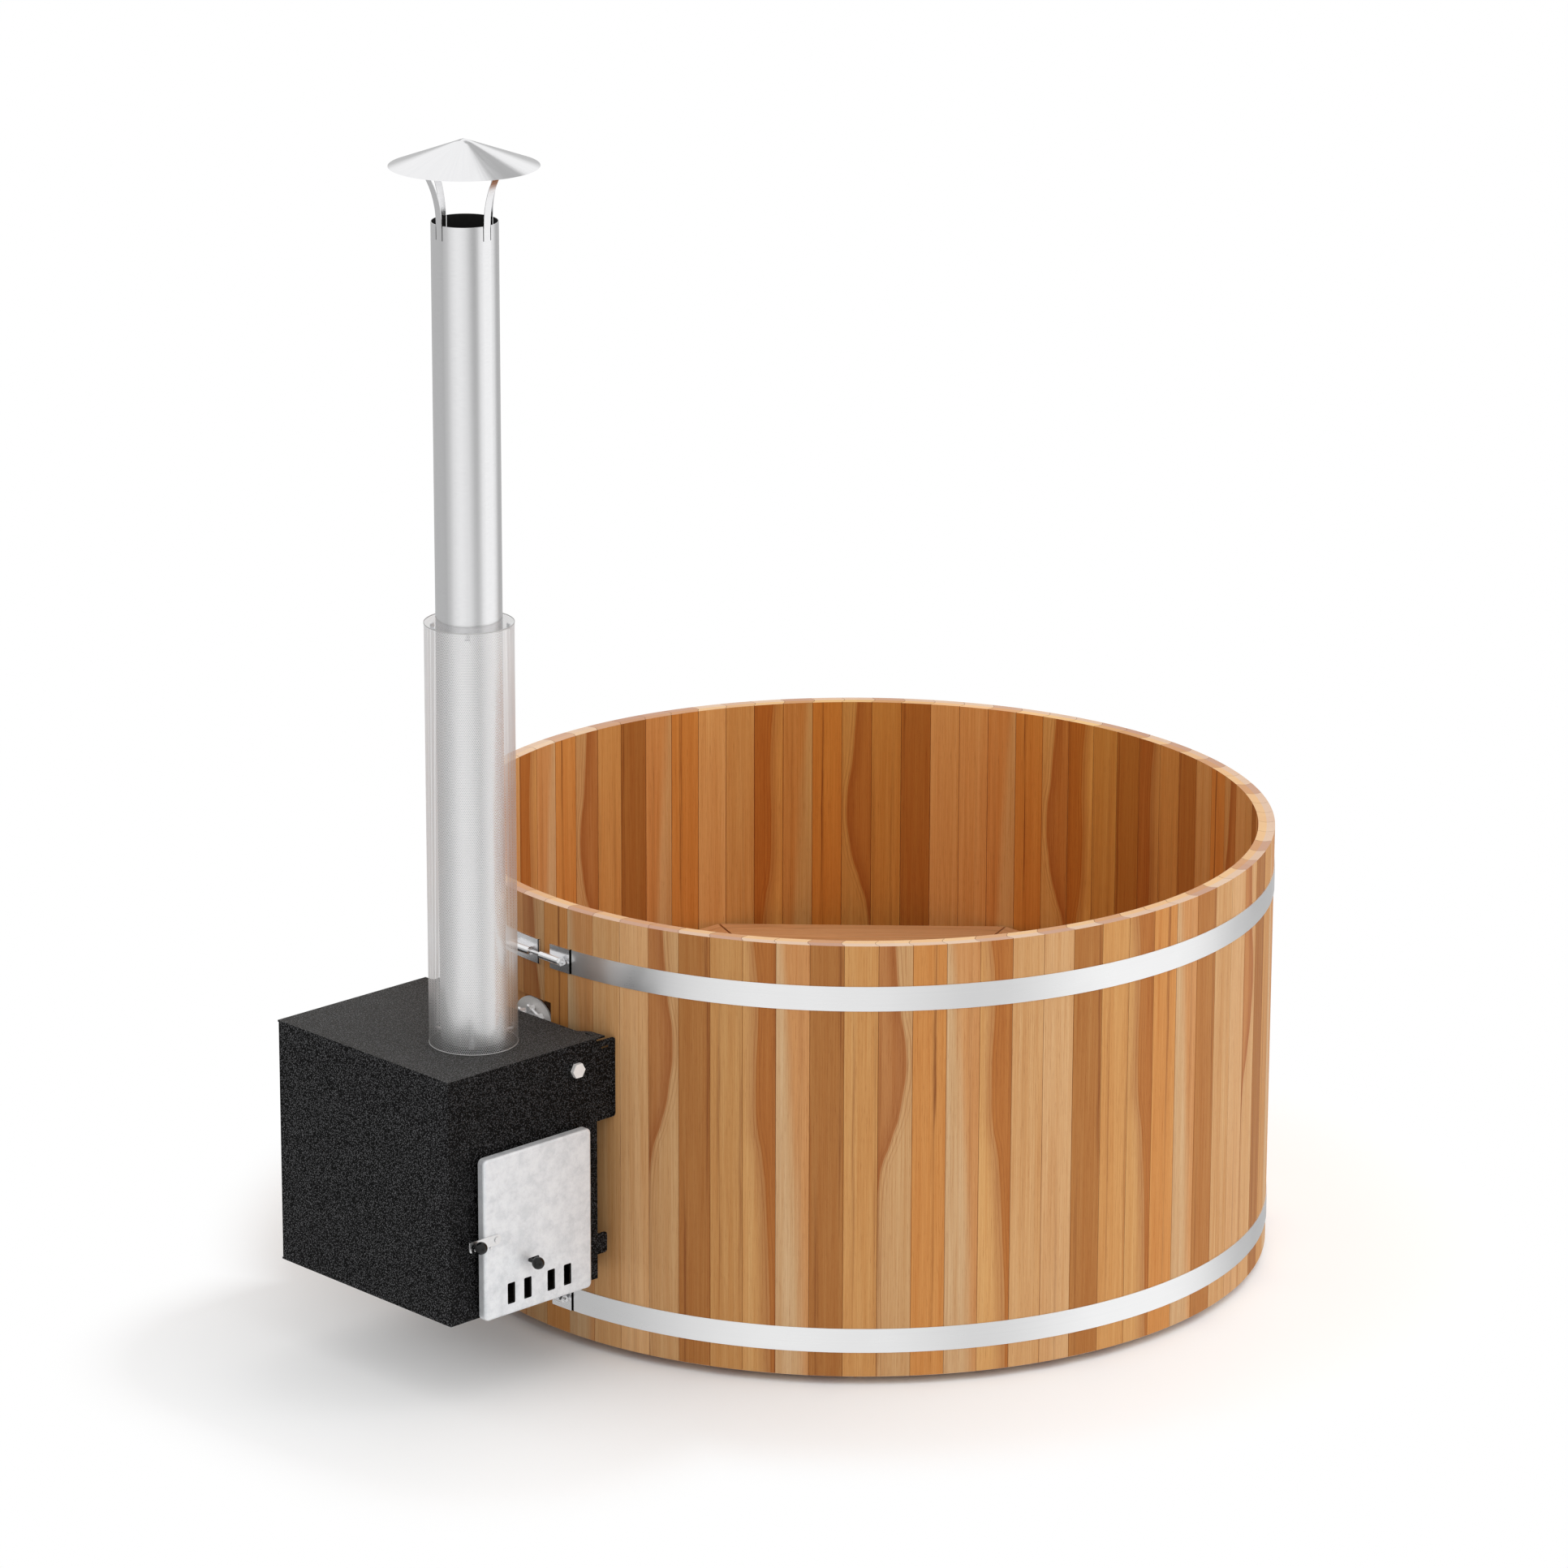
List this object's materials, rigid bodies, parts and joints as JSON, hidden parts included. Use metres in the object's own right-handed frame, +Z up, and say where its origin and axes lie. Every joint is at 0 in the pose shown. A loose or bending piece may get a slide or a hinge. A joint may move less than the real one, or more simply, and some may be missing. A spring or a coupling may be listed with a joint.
{
  "type": "wooden hot tub with wood stove",
  "caption": "Round stave-built wooden tub with bench seats and steel hoops, heated by a wood stove hung on its outside wall, with a tall chimney and rain cap.",
  "frame": {"origin": "on the tub's axis, on the ground under the middle joist", "axes": "+Z up; the stove hangs on the -X side of the wall and its door faces -Y"},
  "size_m": [2.4776, 1.9079, 2.7725],
  "materials": {
    "stave_wood": "satin",
    "floor_wood": "satin",
    "bench_wood": "satin",
    "hoop_steel": "brushed",
    "zinc_steel": "satin",
    "fitting_steel": "satin",
    "black_rubber": "matte",
    "bright_steel": "polished",
    "stove_paint": "hammered satin",
    "fire_iron": "rough",
    "door_casting": "cast, mottled",
    "latch_steel": "brushed",
    "black_plastic": "gloss",
    "seal_rope": "woven",
    "chimney_steel": "brushed",
    "valve_brass": "satin",
    "lever_grip": "satin"
  },
  "bodies": {
    "tub": {"staves_1": "stave_wood", "staves_2": "stave_wood", "staves_3": "stave_wood", "staves_4": "stave_wood", "staves_5": "stave_wood", "staves_6": "stave_wood", "staves_7": "stave_wood", "staves_8": "stave_wood", "floor_boards": "floor_wood", "floor_joists": "floor_wood", "hoop_upper": "hoop_steel", "hoop_lower": "hoop_steel", "hoop_lugs": "hoop_steel", "tension_rods": "zinc_steel", "tension_nuts": "zinc_steel", "bench_outer_boards": "bench_wood", "bench_inner_boards": "bench_wood", "bench_bearers": "bench_wood", "bench_legs": "bench_wood", "bench_battens": "bench_wood", "upper_wall_fitting": "fitting_steel", "lower_wall_fitting": "fitting_steel", "fitting_ring_nuts": "fitting_steel", "fitting_gaskets": "black_rubber", "water_hoses": "black_rubber", "hose_clamps": "bright_steel", "stove_door_side": "stove_paint", "stove_rear_side": "stove_paint", "stove_top_plate": "stove_paint", "stove_base_plate": "stove_paint", "stove_outer_side": "stove_paint", "stove_tub_side": "stove_paint", "stove_spigots": "fitting_steel", "firebox": "fire_iron", "firebox_mouth": "fire_iron", "fire_grate": "fire_iron", "grate_ledges": "fire_iron", "flue_collar": "fire_iron", "bleed_plug": "bright_steel", "hinge_brackets": "stove_paint", "hinge_pins": "zinc_steel", "latch_keeper": "zinc_steel", "chimney_pipe": "chimney_steel", "chimney_cap": "chimney_steel", "chimney_guard": "chimney_steel", "guard_spacers": "zinc_steel", "drain_fitting": "fitting_steel", "drain_valve": "valve_brass"},
    "door": {"door_panel": "door_casting", "door_hinge_leaves": "zinc_steel", "door_seal": "seal_rope", "damper_guides": "zinc_steel", "latch_rivet": "zinc_steel"},
    "latch": {"latch_strip": "latch_steel", "latch_knob": "black_plastic"},
    "damper": {"damper_plate": "zinc_steel", "damper_knob": "black_plastic"},
    "drain_handle": {"drain_lever": "lever_grip", "drain_ball": "fitting_steel"}
  },
  "joints": [
    {"name": "door_hinge", "type": "hinge", "parent": "tub", "child": "door", "pos_m": [-1.0271, -0.1975, 0.385], "axis": [0, 0, 1], "range_deg": [0, 105]},
    {"name": "latch_pivot", "type": "hinge", "parent": "door", "child": "latch", "pos_m": [-1.3131, -0.2233, 0.385], "axis": [0, 1, 0], "range_deg": [0, 60]},
    {"name": "damper_slide", "type": "slide", "parent": "door", "child": "damper", "axis": [1, 0, 0], "range_m": [0, 0.024]},
    {"name": "drain_turn", "type": "hinge", "parent": "tub", "child": "drain_handle", "pos_m": [1, 0, 0.178], "axis": [0, 0, 1], "range_deg": [0, 90]}
  ]
}
